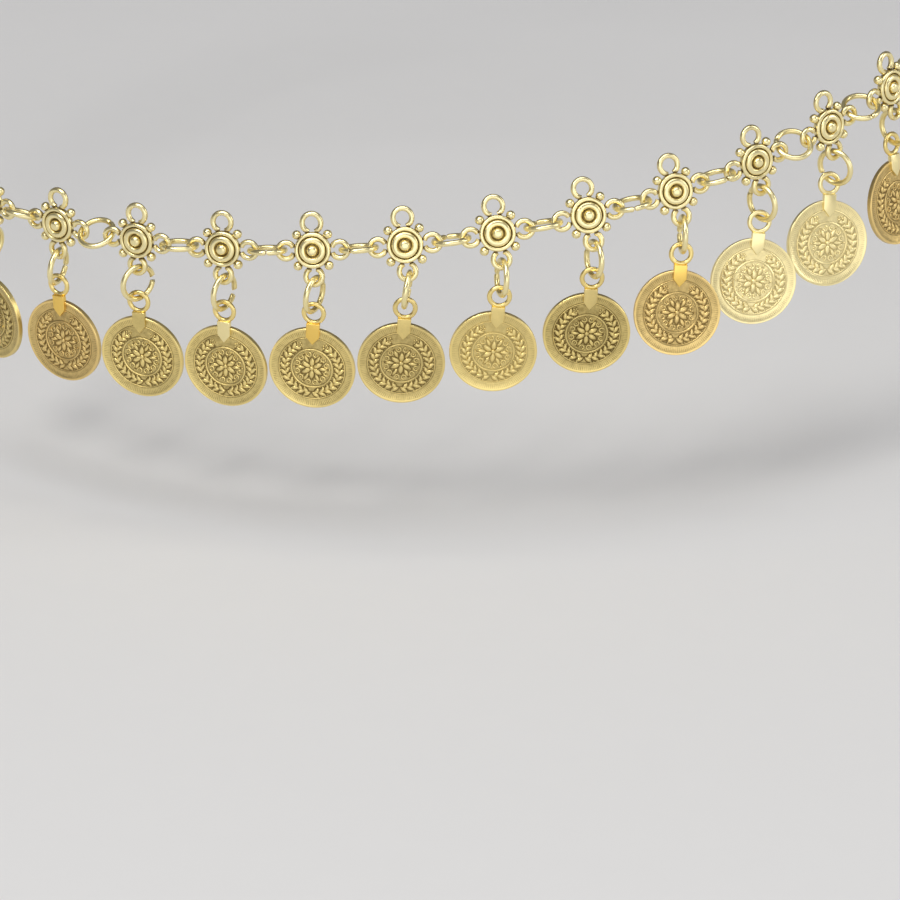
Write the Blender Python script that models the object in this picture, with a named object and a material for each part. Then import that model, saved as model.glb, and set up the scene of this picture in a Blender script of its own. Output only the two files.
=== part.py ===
"""A waist chain of twelve coin pendants, worn: the loop stands open as it lies round a waist.

Metres, +Z up. The origin is the centre of the loop. The front is towards -Y, and +X is the
wearer's left. Every piece is a closed solid of its own.
"""

import math
from collections import namedtuple

import bmesh
import bpy
from mathutils import Matrix, Vector

# The loop round the waist, an ellipse that hangs lower in front and at the wearer's right.
# Its middle lies a little to the wearer's left.
WAIST_HALF_WIDTH = 0.134
WAIST_HALF_DEPTH = 0.111
LOOP_PITCH = math.radians(7.0)
LOOP_ROLL = math.radians(6.2)
LOOP_TURN = math.radians(3.0)
ARC_STEPS = 1440

# The decorated front: connectors with a jump ring between each two
UNITS = 12
SEAT_GAP = 0.0003
SIDE_RING_LEAN = 6

# Connector: a domed button with four balls and four loops, each open towards the button
BUTTON_RADIUS = 0.0042
BUTTON_BACK = -0.0006
BUTTON_SHOULDER = 0.0003
BUTTON_FACE = 0.0010
BUTTON_RIM_RADIUS = 0.0037
BOSS_RADIUS = 0.0012
BOSS_TOP_RADIUS = 0.0007
BOSS_HEIGHT = 0.0019
LOOP_WIRE = 0.0012
LOOP_RADIUS = 0.0019
TOP_LOOP_RADIUS = 0.00215
LOOP_OPENING = math.radians(40)
SIDE_LOOP_REACH = 0.0062
BOTTOM_LOOP_REACH = 0.00605
TOP_LOOP_REACH = 0.00625
BALL_RADIUS = 0.0010
BALL_REACH = 0.0049

# Jump rings of cut wire
RING_RADIUS = 0.0040
RING_WIRE = 0.0013
RING_CUT = 0.0004

# Coin with its bail
COIN_RADIUS = 0.010
COIN_THICKNESS = 0.0012
BAIL_RADIUS = 0.0023
BAIL_WIRE = 0.0012
BAIL_TO_COIN = 0.0138
TAB_WIDTH = 0.0031
TAB_THICKNESS = 0.0010
TAB_STRAIGHT = 0.0020
TAB_POINT = 0.0039

# Plain chain and clasp behind
LINKS_EACH_SIDE = 20
LINK_WIRE = 0.0013
LINK_HALF_WIDTH = 0.0028
LINK_JOIN = 0.0003
CLASP_WIRE = 0.0018
CLASP_HALF_LENGTH = 0.0060
CLASP_HALF_WIDTH = 0.0032
EYE_RADIUS = 0.0017
EYE_REACH = 0.0080

# Facets
RING_STEPS = 12
LOOP_STEPS = 10
WIRE_SIDES = 4
BUTTON_STEPS = 14
COIN_STEPS = 22
LINK_END_STEPS = 4

GOLD = (0.78, 0.62, 0.28, 1.0)
BRIGHT_GOLD = (0.90, 0.76, 0.38, 1.0)

# One row for each unit, from the wearer's right to the wearer's left, in degrees.
# lean raises the face of the connector. side_turn tips the outer edge of the jump ring that
# follows it downwards. ring_yaw and coin_yaw turn the drop ring and the coin about the vertical,
# towards the wearer's left. ring_sway swings the drop ring sideways to the wearer's left, and
# coin_lean the coin. coin_tilt brings the coin's lower edge outwards.
Unit = namedtuple("Unit", "lean side_turn ring_yaw ring_sway coin_yaw coin_tilt coin_lean")
UNIT_POSES = (
    Unit(lean=4, side_turn=-17, ring_yaw=-4, ring_sway=0, coin_yaw=-5, coin_tilt=0, coin_lean=4),
    Unit(lean=4, side_turn=32, ring_yaw=8, ring_sway=-3, coin_yaw=1, coin_tilt=0, coin_lean=5),
    Unit(lean=6, side_turn=-5, ring_yaw=-31, ring_sway=0, coin_yaw=4, coin_tilt=0, coin_lean=3),
    Unit(lean=10, side_turn=-10, ring_yaw=-19, ring_sway=0, coin_yaw=-4, coin_tilt=0, coin_lean=1),
    Unit(lean=16, side_turn=-11, ring_yaw=-20, ring_sway=-2, coin_yaw=-3, coin_tilt=0, coin_lean=-2),
    Unit(lean=20, side_turn=-8, ring_yaw=-7, ring_sway=-7, coin_yaw=0, coin_tilt=0, coin_lean=-4),
    Unit(lean=21, side_turn=-10, ring_yaw=8, ring_sway=-6, coin_yaw=-5, coin_tilt=0, coin_lean=-6),
    Unit(lean=20, side_turn=-4, ring_yaw=9, ring_sway=-6, coin_yaw=-10, coin_tilt=0, coin_lean=-5),
    Unit(lean=18, side_turn=-6, ring_yaw=-15, ring_sway=-3, coin_yaw=-16, coin_tilt=11, coin_lean=-5),
    Unit(lean=9, side_turn=31, ring_yaw=14, ring_sway=-2, coin_yaw=-22, coin_tilt=14, coin_lean=-8),
    Unit(lean=9, side_turn=20, ring_yaw=18, ring_sway=0, coin_yaw=-19, coin_tilt=15, coin_lean=-8),
    Unit(lean=8, side_turn=10, ring_yaw=0, ring_sway=-5, coin_yaw=-2, coin_tilt=12, coin_lean=-5),
)
# Where each ring is cut, in degrees round from its outer edge, in the same order
SIDE_RING_CUTS = (200, 200, 26, 200, 170, 200, 345, 345, 190, 170, 320, 190, 200)
DROP_RING_CUTS = (20, 200, 178, 200, 160, 200, 190, 170, 200, 160, 215, 20)
# The drop rings that have sprung open, and the width of their opening
SPRUNG_RINGS = {2: 0.0013, 3: 0.0013}
# The drop rings that carry their coin away from their lowest point: degrees round inwards
RING_FOOT_TURNS = {9: 10, 10: 35, 11: 30}
FIRST_SIDE_TURN = 0

# Values worked out from the sizes above
LOOP_WIRE_REACH = SIDE_LOOP_REACH + LOOP_RADIUS
HOOK_REACH = (LOOP_WIRE + RING_WIRE) / 2 + SEAT_GAP
UNIT_PITCH = 2 * (LOOP_WIRE_REACH - HOOK_REACH + RING_RADIUS)
UP = Vector((0, 0, 1))
TILT = Matrix.Rotation(-LOOP_ROLL, 4, "Y") @ Matrix.Rotation(LOOP_PITCH, 4, "X")
TILT = TILT @ Matrix.Rotation(LOOP_TURN, 4, "Z")


def clear_scene():
    for obj in list(bpy.data.objects):
        bpy.data.objects.remove(obj)


def metal(name, colour, roughness):
    made = bpy.data.materials.new(name)
    made.use_nodes = True
    shader = made.node_tree.nodes["Principled BSDF"]
    shader.inputs["Base Color"].default_value = colour
    shader.inputs["Metallic"].default_value = 1.0
    shader.inputs["Roughness"].default_value = roughness
    return made


def loft(bm, sections, closed):
    """Bridges each section of points to the next, and caps the two ends where the row is open."""
    rings = [[bm.verts.new(point) for point in section] for section in sections]
    following = rings[1:] + rings[:1] if closed else rings[1:]
    for ring, after in zip(rings, following):
        for i in range(len(ring)):
            j = (i + 1) % len(ring)
            bm.faces.new((ring[i], ring[j], after[j], after[i]))
    if not closed:
        bm.faces.new(rings[0])
        bm.faces.new(rings[-1])


def mesh_from(name, bm):
    """Closes the faces of a finished bmesh outwards and turns it into a mesh."""
    bmesh.ops.recalc_face_normals(bm, faces=bm.faces)
    mesh = bpy.data.meshes.new(name)
    bm.to_mesh(mesh)
    bm.free()
    return mesh


def place(name, mesh, matrix, material):
    obj = bpy.data.objects.new(name, mesh)
    bpy.context.scene.collection.objects.link(obj)
    obj.matrix_world = matrix
    if not mesh.materials:
        mesh.materials.append(material)
        mesh.shade_smooth()
        mesh.set_sharp_from_angle(angle=math.radians(40))
    return obj


def joined(name, meshes):
    """One closed mesh, the Boolean union of several that overlap."""
    helpers = [bpy.data.objects.new(name + "_helper", mesh) for mesh in meshes]
    for helper in helpers:
        bpy.context.scene.collection.objects.link(helper)
    body = helpers[0]
    for other in helpers[1:]:
        union = body.modifiers.new("union", "BOOLEAN")
        union.operation = "UNION"
        union.solver = "EXACT"
        union.object = other
    graph = bpy.context.evaluated_depsgraph_get()
    mesh = bpy.data.meshes.new_from_object(body.evaluated_get(graph))
    mesh.name = name
    for helper in helpers:
        bpy.data.objects.remove(helper)
    return mesh


def wire_section(centre, outward, normal, radius):
    """The corners of a wire's cross-section, in the plane of two directions."""
    corners = []
    for i in range(WIRE_SIDES):
        angle = math.tau * i / WIRE_SIDES
        corners.append(centre + radius * (math.cos(angle) * outward + math.sin(angle) * normal))
    return corners


def wire_ring(name, radius, wire, steps, centre=(0, 0, 0), cut=0.0, cut_at=0.0, upright=False):
    """A ring of wire in the XY plane, or in the YZ plane where upright, whole or with a cut.

    cut is the width of the opening, and cut_at its place round the ring, from +X or +Y.
    """
    turn = Matrix(((0, 0, 1), (1, 0, 0), (0, 1, 0))) if upright else Matrix.Identity(3)
    opening = cut / radius
    sweep = math.tau - opening
    stations = steps + 1 if cut else steps
    sections = []
    for i in range(stations):
        angle = cut_at + opening / 2 + sweep * i / steps
        outward = turn @ Vector((math.cos(angle), math.sin(angle), 0))
        normal = turn @ UP
        sections.append(wire_section(Vector(centre) + radius * outward, outward, normal, wire / 2))
    bm = bmesh.new()
    loft(bm, sections, closed=not cut)
    return mesh_from(name, bm)


def turned(name, profile, steps, centre=(0, 0, 0)):
    """A solid turned about Z through a profile of (radius, height) points, flat at both ends."""
    sections = []
    for radius, height in profile:
        section = []
        for i in range(steps):
            angle = math.tau * i / steps
            section.append(Vector(centre) + Vector((radius * math.cos(angle), radius * math.sin(angle), height)))
        sections.append(section)
    bm = bmesh.new()
    loft(bm, sections, closed=False)
    return mesh_from(name, bm)


def ball(name, radius, centre):
    bm = bmesh.new()
    bmesh.ops.create_icosphere(bm, subdivisions=1, radius=radius, matrix=Matrix.Translation(centre))
    return mesh_from(name, bm)


def plate(name, outline, back, front):
    """A flat plate of the given outline, between two heights along Z."""
    bm = bmesh.new()
    sections = [[Vector((x, y, height)) for x, y in outline] for height in (back, front)]
    loft(bm, sections, closed=False)
    return mesh_from(name, bm)


def long_link(name, half_length, half_width, wire, matrix=None):
    """A link with straight sides and round ends, along X in the XY plane."""
    sections = []
    straight = half_length - half_width
    for end, start in ((1, -math.pi / 2), (-1, math.pi / 2)):
        for i in range(LINK_END_STEPS + 1):
            angle = start + math.pi * i / LINK_END_STEPS
            outward = Vector((math.cos(angle), math.sin(angle), 0))
            centre = Vector((end * straight, 0, 0)) + half_width * outward
            sections.append(wire_section(centre, outward, UP, wire / 2))
    bm = bmesh.new()
    loft(bm, sections, closed=True)
    mesh = mesh_from(name, bm)
    if matrix:
        mesh.transform(matrix)
    return mesh


def connector_mesh():
    """The domed button with its boss, a loop on each side and a ball in each corner."""
    profile = (
        (BUTTON_RADIUS, BUTTON_BACK),
        (BUTTON_RADIUS, BUTTON_SHOULDER),
        (BUTTON_RIM_RADIUS, BUTTON_FACE),
        (BOSS_RADIUS, BUTTON_FACE),
        (BOSS_TOP_RADIUS, BOSS_HEIGHT),
    )
    parts = [turned("button", profile, BUTTON_STEPS)]
    for x, y, radius in (
        (-SIDE_LOOP_REACH, 0, LOOP_RADIUS),
        (SIDE_LOOP_REACH, 0, LOOP_RADIUS),
        (0, -BOTTOM_LOOP_REACH, LOOP_RADIUS),
        (0, TOP_LOOP_REACH, TOP_LOOP_RADIUS),
    ):
        cut = LOOP_OPENING * radius
        parts.append(wire_ring("loop", radius, LOOP_WIRE, LOOP_STEPS, (x, y, 0), cut, math.atan2(-y, -x)))
    for corner in range(4):
        angle = math.radians(45 + 90 * corner)
        centre = BALL_REACH * Vector((math.cos(angle), math.sin(angle), 0))
        parts.append(ball("ball", BALL_RADIUS, centre))
    return joined("connector", parts)


def coin_mesh():
    """The coin below its bail, with the origin in the bail's top wire and the face towards +Z."""
    bail_centre = Vector((0, -BAIL_RADIUS, 0))
    coin_centre = bail_centre - Vector((0, BAIL_TO_COIN, 0))
    half = COIN_THICKNESS / 2
    coin_top = coin_centre.y + COIN_RADIUS
    outline = (
        (-TAB_WIDTH / 2, bail_centre.y - BAIL_RADIUS),
        (TAB_WIDTH / 2, bail_centre.y - BAIL_RADIUS),
        (TAB_WIDTH / 2, coin_top - TAB_STRAIGHT),
        (0, coin_top - TAB_POINT),
        (-TAB_WIDTH / 2, coin_top - TAB_STRAIGHT),
    )
    parts = [
        turned("coin", ((COIN_RADIUS, -half), (COIN_RADIUS, half)), COIN_STEPS, coin_centre),
        wire_ring("bail", BAIL_RADIUS, BAIL_WIRE, LOOP_STEPS, bail_centre, cut_at=math.pi / 2),
        plate("tab", outline, half - TAB_THICKNESS, half + TAB_THICKNESS / 2),
    ]
    return joined("coin", parts)


def ellipse_table():
    """Points of the level ellipse from the front round by +X, each with its distance along it."""
    rows = []
    length = 0.0
    before = None
    for i in range(ARC_STEPS + 1):
        angle = math.tau * i / ARC_STEPS
        point = Vector((WAIST_HALF_WIDTH * math.sin(angle), -WAIST_HALF_DEPTH * math.cos(angle), 0))
        if before is not None:
            length += (point - before).length
        rows.append((length, point))
        before = point
    return rows


TABLE = ellipse_table()
WAIST_LENGTH = TABLE[-1][0]


def waist_point(distance):
    """The point of the tilted loop at a distance along it from the front, by way of +X."""
    distance %= WAIST_LENGTH
    for (start, point), (end, after) in zip(TABLE, TABLE[1:]):
        if distance <= end:
            return TILT @ point.lerp(after, (distance - start) / (end - start))
    return TILT @ TABLE[-1][1]


def outward_level(distance):
    """The level direction straight out of the loop."""
    step = UNIT_PITCH / 2
    along = waist_point(distance + step) - waist_point(distance - step)
    return along.cross(UP).normalized()


def axes_matrix(origin, x, y, z):
    matrix = Matrix((x, y, z)).transposed().to_4x4()
    matrix.translation = origin
    return matrix


def connector_frame(distance, lean):
    """X along the chain, Z outwards and raised by the lean in degrees, Y up."""
    step = UNIT_PITCH / 2
    along = (waist_point(distance + step) - waist_point(distance - step)).normalized()
    angle = math.radians(lean)
    raised = math.cos(angle) * outward_level(distance) + math.sin(angle) * UP
    face = (raised - raised.dot(along) * along).normalized()
    return axes_matrix(waist_point(distance), along, face.cross(along), face)


def side_ring_matrix(distance, turn):
    """A jump ring between two connectors: its plane holds the chain and leans down outwards."""
    frame = connector_frame(distance, SIDE_RING_LEAN)
    return frame @ Matrix.Rotation(math.radians(90 + turn), 4, "X")


def turned_level(direction, yaw):
    return Matrix.Rotation(math.radians(yaw), 3, "Z") @ direction


def unit_distance(index):
    return (index - (UNITS - 1) / 2) * UNIT_PITCH


def drop_ring_matrix(frame, distance, pose):
    """The origin is in the wire of the connector's bottom loop, Y outwards and Z up."""
    hinge = frame @ Vector((0, -BOTTOM_LOOP_REACH - LOOP_RADIUS, 0))
    outward = turned_level(outward_level(distance), pose.ring_yaw)
    upright = axes_matrix(hinge, outward.cross(UP), outward, UP)
    return upright @ Matrix.Rotation(math.radians(pose.ring_sway), 4, "Y")


def coin_matrix(ring, index):
    """The origin is in the bail's top wire, hooked inside the foot of the drop ring."""
    pose = UNIT_POSES[index]
    turn = math.radians(RING_FOOT_TURNS.get(index, 0))
    reach = RING_RADIUS - (RING_WIRE + BAIL_WIRE) / 2 - SEAT_GAP
    foot = Vector((0, -reach * math.sin(turn), HOOK_REACH - RING_RADIUS - reach * math.cos(turn)))
    outward = turned_level(outward_level(unit_distance(index)), pose.coin_yaw)
    upright = axes_matrix(ring @ foot, UP.cross(outward), UP, outward)
    lean = Matrix.Rotation(math.radians(pose.coin_lean), 4, "Z")
    tilt = Matrix.Rotation(math.radians(-pose.coin_tilt), 4, "X")
    return upright @ lean @ tilt


def build_side_rings(gold):
    turns = [FIRST_SIDE_TURN] + [pose.side_turn for pose in UNIT_POSES]
    for index, (turn, cut) in enumerate(zip(turns, SIDE_RING_CUTS)):
        distance = unit_distance(index - 0.5)
        name = f"side_ring_{index:02d}"
        cut_at = math.radians(cut - 90)
        mesh = wire_ring(name, RING_RADIUS, RING_WIRE, RING_STEPS, cut=RING_CUT, cut_at=cut_at)
        place(name, mesh, side_ring_matrix(distance, turn), gold)


def build_units(gold, bright):
    connector = connector_mesh()
    coin = coin_mesh()
    ring_centre = (0, 0, HOOK_REACH - RING_RADIUS)
    for index, pose in enumerate(UNIT_POSES):
        distance = unit_distance(index)
        number = f"{index + 1:02d}"
        frame = connector_frame(distance, pose.lean)
        place("connector_" + number, connector, frame, gold)
        ring = drop_ring_matrix(frame, distance, pose)
        cut = SPRUNG_RINGS.get(index, RING_CUT)
        cut_at = math.radians(DROP_RING_CUTS[index])
        mesh = wire_ring("drop_ring", RING_RADIUS, RING_WIRE, RING_STEPS, ring_centre, cut, cut_at, upright=True)
        place("drop_ring_" + number, mesh, ring, bright)
        place("coin_" + number, coin, coin_matrix(ring, index), gold)


def loop_frame(distance, quarter_turns=0):
    """X along the loop and Z square to its plane, turned about X by quarter turns."""
    step = UNIT_PITCH / 2
    along = (waist_point(distance + step) - waist_point(distance - step)).normalized()
    square = (TILT @ UP).normalized()
    frame = axes_matrix(waist_point(distance), along, square.cross(along), square)
    return frame @ Matrix.Rotation(quarter_turns * math.pi / 2, 4, "X")


def build_back(gold, bright):
    """The plain chain to the clasp on each side, with the clasp at the middle of the back."""
    ring_to_link = RING_RADIUS - (RING_WIRE + LINK_WIRE) / 2 - SEAT_GAP
    ring_to_clasp = RING_RADIUS - (RING_WIRE + CLASP_WIRE) / 2 - SEAT_GAP + CLASP_HALF_LENGTH
    eye_to_link = EYE_RADIUS - (LOOP_WIRE + LINK_WIRE) / 2 - SEAT_GAP
    fixed = 3 * ring_to_link + ring_to_clasp + EYE_REACH + eye_to_link
    joins = 2 * (LINKS_EACH_SIDE - 1)
    free = WAIST_LENGTH - UNITS * UNIT_PITCH - fixed + joins * (LINK_WIRE - LINK_JOIN)
    half_length = free / (2 * joins + 4)
    pitch = 2 * half_length - LINK_WIRE + LINK_JOIN

    first = UNITS / 2 * UNIT_PITCH + ring_to_link + half_length
    left = build_run("chain_left", [first + i * pitch for i in range(LINKS_EACH_SIDE)], half_length, gold)
    ring_at = left + half_length + ring_to_link
    ring = wire_ring("clasp_ring", RING_RADIUS, RING_WIRE, RING_STEPS)
    place("clasp_ring", ring, loop_frame(ring_at, 1), bright)
    clasp_at = ring_at + ring_to_clasp
    place("clasp", clasp_mesh(), loop_frame(clasp_at), bright)
    start = clasp_at + EYE_REACH + eye_to_link + half_length
    build_run("chain_right", [start + i * pitch for i in range(LINKS_EACH_SIDE)], half_length, gold)


def build_run(name, distances, half_length, gold):
    """A run of links, each a quarter turn from the last and joined to it. Returns the last place."""
    links = []
    upright = name == "chain_left"
    for distance in distances:
        matrix = loop_frame(distance, 1 if upright else 0)
        links.append(long_link("link", half_length, LINK_HALF_WIDTH, LINK_WIRE, matrix))
        upright = not upright
    place(name, joined(name, links), Matrix.Identity(4), gold)
    return distances[-1]


def clasp_mesh():
    """The closed hook of the clasp and the eye behind it, along X."""
    hook = long_link("hook", CLASP_HALF_LENGTH, CLASP_HALF_WIDTH, CLASP_WIRE)
    eye = wire_ring("eye", EYE_RADIUS, LOOP_WIRE, LOOP_STEPS)
    eye.transform(Matrix.Translation((EYE_REACH, 0, 0)) @ Matrix.Rotation(math.pi / 2, 4, "X"))
    return joined("clasp", [hook, eye])


def main():
    clear_scene()
    gold = metal("antique_gold", GOLD, 0.38)
    bright = metal("bright_gold", BRIGHT_GOLD, 0.28)
    build_side_rings(gold)
    build_units(gold, bright)
    build_back(gold, bright)


main()
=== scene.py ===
"""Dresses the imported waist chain: domed connectors, cut jump rings, struck coins, links and clasp."""

import math
from collections import namedtuple

import bpy
from bpy.props import FloatProperty, FloatVectorProperty, IntProperty, PointerProperty
from mathutils import Matrix, Vector


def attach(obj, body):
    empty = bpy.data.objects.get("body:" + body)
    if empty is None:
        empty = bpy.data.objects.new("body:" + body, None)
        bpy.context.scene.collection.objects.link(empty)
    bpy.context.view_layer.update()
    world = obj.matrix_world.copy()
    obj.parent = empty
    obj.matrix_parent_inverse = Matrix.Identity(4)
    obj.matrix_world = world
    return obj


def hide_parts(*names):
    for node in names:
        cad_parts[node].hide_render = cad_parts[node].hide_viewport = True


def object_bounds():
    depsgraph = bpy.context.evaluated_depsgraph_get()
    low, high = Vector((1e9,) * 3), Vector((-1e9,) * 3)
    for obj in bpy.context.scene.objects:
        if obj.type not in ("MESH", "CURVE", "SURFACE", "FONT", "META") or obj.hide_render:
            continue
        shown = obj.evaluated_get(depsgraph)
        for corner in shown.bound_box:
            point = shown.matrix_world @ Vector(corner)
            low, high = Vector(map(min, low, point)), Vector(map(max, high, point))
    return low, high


bl_info = {
    "name": "Waist chain with coin pendants",
    "version": (1, 0, 0),
    "blender": (4, 5, 0),
    "location": "3D View > Sidebar > Waist chain",
    "description": "Models the pieces of a worn waist chain and the stage that it is shown on",
    "category": "Add Mesh",
}

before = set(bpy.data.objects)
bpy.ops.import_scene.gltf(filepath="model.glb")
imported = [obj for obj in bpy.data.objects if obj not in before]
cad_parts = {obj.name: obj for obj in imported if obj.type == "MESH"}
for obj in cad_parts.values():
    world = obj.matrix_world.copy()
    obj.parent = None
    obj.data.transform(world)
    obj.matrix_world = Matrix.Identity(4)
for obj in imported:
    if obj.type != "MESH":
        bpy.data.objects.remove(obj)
cad_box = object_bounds()

# The loop round the waist, as the solids have it
WAIST_HALF_WIDTH = 0.134
WAIST_HALF_DEPTH = 0.111
LOOP_PITCH = math.radians(7.0)
LOOP_ROLL = math.radians(6.2)
LOOP_TURN = math.radians(3.0)
ARC_STEPS = 1440
UNITS = 12
SEAT_GAP = 0.0003
SIDE_RING_LEAN = 6

# Connector
LOOP_WIRE = 0.0012
LOOP_RADIUS = 0.0019
TOP_LOOP_RADIUS = 0.00215
LOOP_OPENING = math.radians(40)
SIDE_LOOP_REACH = 0.0062
BOTTOM_LOOP_REACH = 0.00605
TOP_LOOP_REACH = 0.00625
BALL_REACH = 0.00505

# Jump rings
RING_RADIUS = 0.0040
RING_WIRE = 0.0013

# Coin and bail
COIN_RADIUS = 0.010
COIN_THICKNESS = 0.0012
BAIL_RADIUS = 0.0023
BAIL_WIRE = 0.0012
BAIL_TO_COIN = 0.0138
TAB_WIDTH = 0.0031
TAB_STRAIGHT = 0.0020
TAB_POINT = 0.0039

# Relief of the coin: how high its sunk field lies, how high a leaf stands on the field, and how much wider
# than a leaf the dark skirt round it is, which is painted shade at the leaf's foot with wax
FIELD = 0.00042
RELIEF = 0.00034
WAX_AND_SHADE_SKIRT = 0.00042

# Plain chain and clasp
LINKS_EACH_SIDE = 20
LINK_WIRE = 0.0013
LINK_HALF_WIDTH = 0.0028
LINK_JOIN = 0.0003
CLASP_WIRE = 0.0018
CLASP_HALF_LENGTH = 0.0060
CLASP_HALF_WIDTH = 0.0032
EYE_RADIUS = 0.0017
EYE_REACH = 0.0080

# One row for each unit, from the wearer's right to the wearer's left, in degrees, and the
# finish of its coin and of its coin's tab
Unit = namedtuple(
    "Unit", "lean side_turn ring_yaw ring_sway coin_yaw coin_tilt coin_lean coin_finish tab_finish"
)
UNIT_POSES = (
    Unit(4, -17, -4, 0, -5, 0, 4, "olive", "pale"),
    Unit(4, 32, 8, -3, 1, 0, 5, "warm", "orange"),
    Unit(6, -5, -31, 0, 4, 0, 3, "yellow", "dark"),
    Unit(10, -10, -19, 0, -4, 0, 1, "yellow", "pale"),
    Unit(16, -11, -20, -2, -3, 0, -2, "yellow", "orange"),
    Unit(20, -8, -7, -7, 0, 0, -4, "olive", "dark"),
    Unit(21, -10, 8, -6, -5, 0, -6, "soft", "yellow"),
    Unit(20, -4, 9, -6, -10, 0, -5, "dark", "olive"),
    Unit(18, -6, -15, -3, -16, 11, -5, "warm", "orange"),
    Unit(9, 31, 14, -2, -22, 14, -8, "pale", "pale"),
    Unit(9, 20, 18, 0, -19, 15, -8, "pale", "pale"),
    Unit(8, 10, 0, -5, -2, 12, -5, "warm", "pale"),
)

# Where each ring is cut, in degrees round it, which drop rings have sprung open, and how far round
# the foot of its ring a bail hangs
SIDE_RING_CUTS = (200, 200, 26, 200, 170, 200, 345, 345, 190, 170, 320, 190, 200)
DROP_RING_CUTS = (20, 200, 178, 200, 160, 200, 190, 170, 200, 160, 215, 20)
SPRUNG_RINGS = (2, 3)
RING_FOOT_TURNS = {9: 10, 10: 35, 11: 30}

# Worked out from the sizes above
HOOK_REACH = (LOOP_WIRE + RING_WIRE) / 2 + SEAT_GAP
UNIT_PITCH = 2 * (SIDE_LOOP_REACH + LOOP_RADIUS - HOOK_REACH + RING_RADIUS)
UP = Vector((0, 0, 1))
TILT = Matrix.Rotation(-LOOP_ROLL, 4, "Y") @ Matrix.Rotation(LOOP_PITCH, 4, "X")
TILT = TILT @ Matrix.Rotation(LOOP_TURN, 4, "Z")
UPRIGHT = Matrix(((0, 0, 1, 0), (1, 0, 0, 0), (0, 1, 0, 0), (0, 0, 0, 1)))

# The camera that was fitted to the photograph
CAMERA_PLACE = (0.0069, -1.6330, 0.7062)
CAMERA_DOWN = math.radians(26.89)
CAMERA_ROLL = math.radians(0.03)

# The stage: the room's colour, how far below the chain the paper lies, and the distances from the
# middle between which it fades into the room
ROOM = (0.80, 0.80, 0.80)
FLOOR_DROP = 0.03
FADE_START = 0.22
FADE_END = 1.0

# How dark the plain backs of the cast and struck pieces are left
BACK_TONE = 0.35


def ellipse_table():
    """Points of the level ellipse from the front round by +X, each with its distance along it."""
    rows = []
    length = 0.0
    before = None
    for i in range(ARC_STEPS + 1):
        angle = math.tau * i / ARC_STEPS
        point = Vector((WAIST_HALF_WIDTH * math.sin(angle), -WAIST_HALF_DEPTH * math.cos(angle), 0))
        if before is not None:
            length += (point - before).length
        rows.append((length, point))
        before = point
    return rows


TABLE = ellipse_table()
WAIST_LENGTH = TABLE[-1][0]


def waist_point(distance):
    """The point of the tilted loop at a distance along it from the front, by way of +X."""
    distance %= WAIST_LENGTH
    for (start, point), (end, after) in zip(TABLE, TABLE[1:]):
        if distance <= end:
            return TILT @ point.lerp(after, (distance - start) / (end - start))
    return TILT @ TABLE[-1][1]


def along_loop(distance):
    step = UNIT_PITCH / 2
    return waist_point(distance + step) - waist_point(distance - step)


def outward_level(distance):
    """The level direction straight out of the loop."""
    return along_loop(distance).cross(UP).normalized()


def axes_matrix(origin, x, y, z):
    matrix = Matrix((x, y, z)).transposed().to_4x4()
    matrix.translation = origin
    return matrix


def connector_frame(distance, lean):
    """X along the chain, Z outwards and raised by the lean in degrees, Y up."""
    along = along_loop(distance).normalized()
    angle = math.radians(lean)
    raised = math.cos(angle) * outward_level(distance) + math.sin(angle) * UP
    face = (raised - raised.dot(along) * along).normalized()
    return axes_matrix(waist_point(distance), along, face.cross(along), face)


def side_ring_matrix(distance, turn):
    """A jump ring between two connectors, in its own XY plane."""
    return connector_frame(distance, SIDE_RING_LEAN) @ Matrix.Rotation(math.radians(90 + turn), 4, "X")


def turned_level(direction, yaw):
    return Matrix.Rotation(math.radians(yaw), 3, "Z") @ direction


def unit_distance(index):
    return (index - (UNITS - 1) / 2) * UNIT_PITCH


def drop_ring_matrix(index):
    """The origin is in the wire of the connector's bottom loop, Y outwards and Z up."""
    pose = UNIT_POSES[index]
    distance = unit_distance(index)
    hinge = connector_frame(distance, pose.lean) @ Vector((0, -BOTTOM_LOOP_REACH - LOOP_RADIUS, 0))
    outward = turned_level(outward_level(distance), pose.ring_yaw)
    upright = axes_matrix(hinge, outward.cross(UP), outward, UP)
    return upright @ Matrix.Rotation(math.radians(pose.ring_sway), 4, "Y")


def coin_matrix(index):
    """The origin is in the bail's top wire, hooked inside the foot of the drop ring."""
    pose = UNIT_POSES[index]
    turn = math.radians(RING_FOOT_TURNS.get(index, 0))
    reach = RING_RADIUS - (RING_WIRE + BAIL_WIRE) / 2 - SEAT_GAP
    foot = Vector((0, -reach * math.sin(turn), HOOK_REACH - RING_RADIUS - reach * math.cos(turn)))
    outward = turned_level(outward_level(unit_distance(index)), pose.coin_yaw)
    upright = axes_matrix(drop_ring_matrix(index) @ foot, UP.cross(outward), UP, outward)
    lean = Matrix.Rotation(math.radians(pose.coin_lean), 4, "Z")
    tilt = Matrix.Rotation(math.radians(-pose.coin_tilt), 4, "X")
    return upright @ lean @ tilt


def loop_frame(distance, quarter_turns=0):
    """X along the loop and Z square to its plane, turned about X by quarter turns."""
    along = along_loop(distance).normalized()
    square = (TILT @ UP).normalized()
    matrix = axes_matrix(waist_point(distance), along, square.cross(along), square)
    return matrix @ Matrix.Rotation(quarter_turns * math.pi / 2, 4, "X")


def deselect_all():
    if bpy.context.mode != "OBJECT":
        bpy.ops.object.mode_set(mode="OBJECT")
    bpy.ops.object.select_all(action="DESELECT")


def select_points(test):
    """Selects, in edit mode, the active object's points whose place passes the test."""
    bpy.ops.mesh.select_all(action="DESELECT")
    bpy.ops.object.mode_set(mode="OBJECT")
    for point in bpy.context.object.data.vertices:
        point.select = test(point.co)
    bpy.ops.object.mode_set(mode="EDIT")


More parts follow.
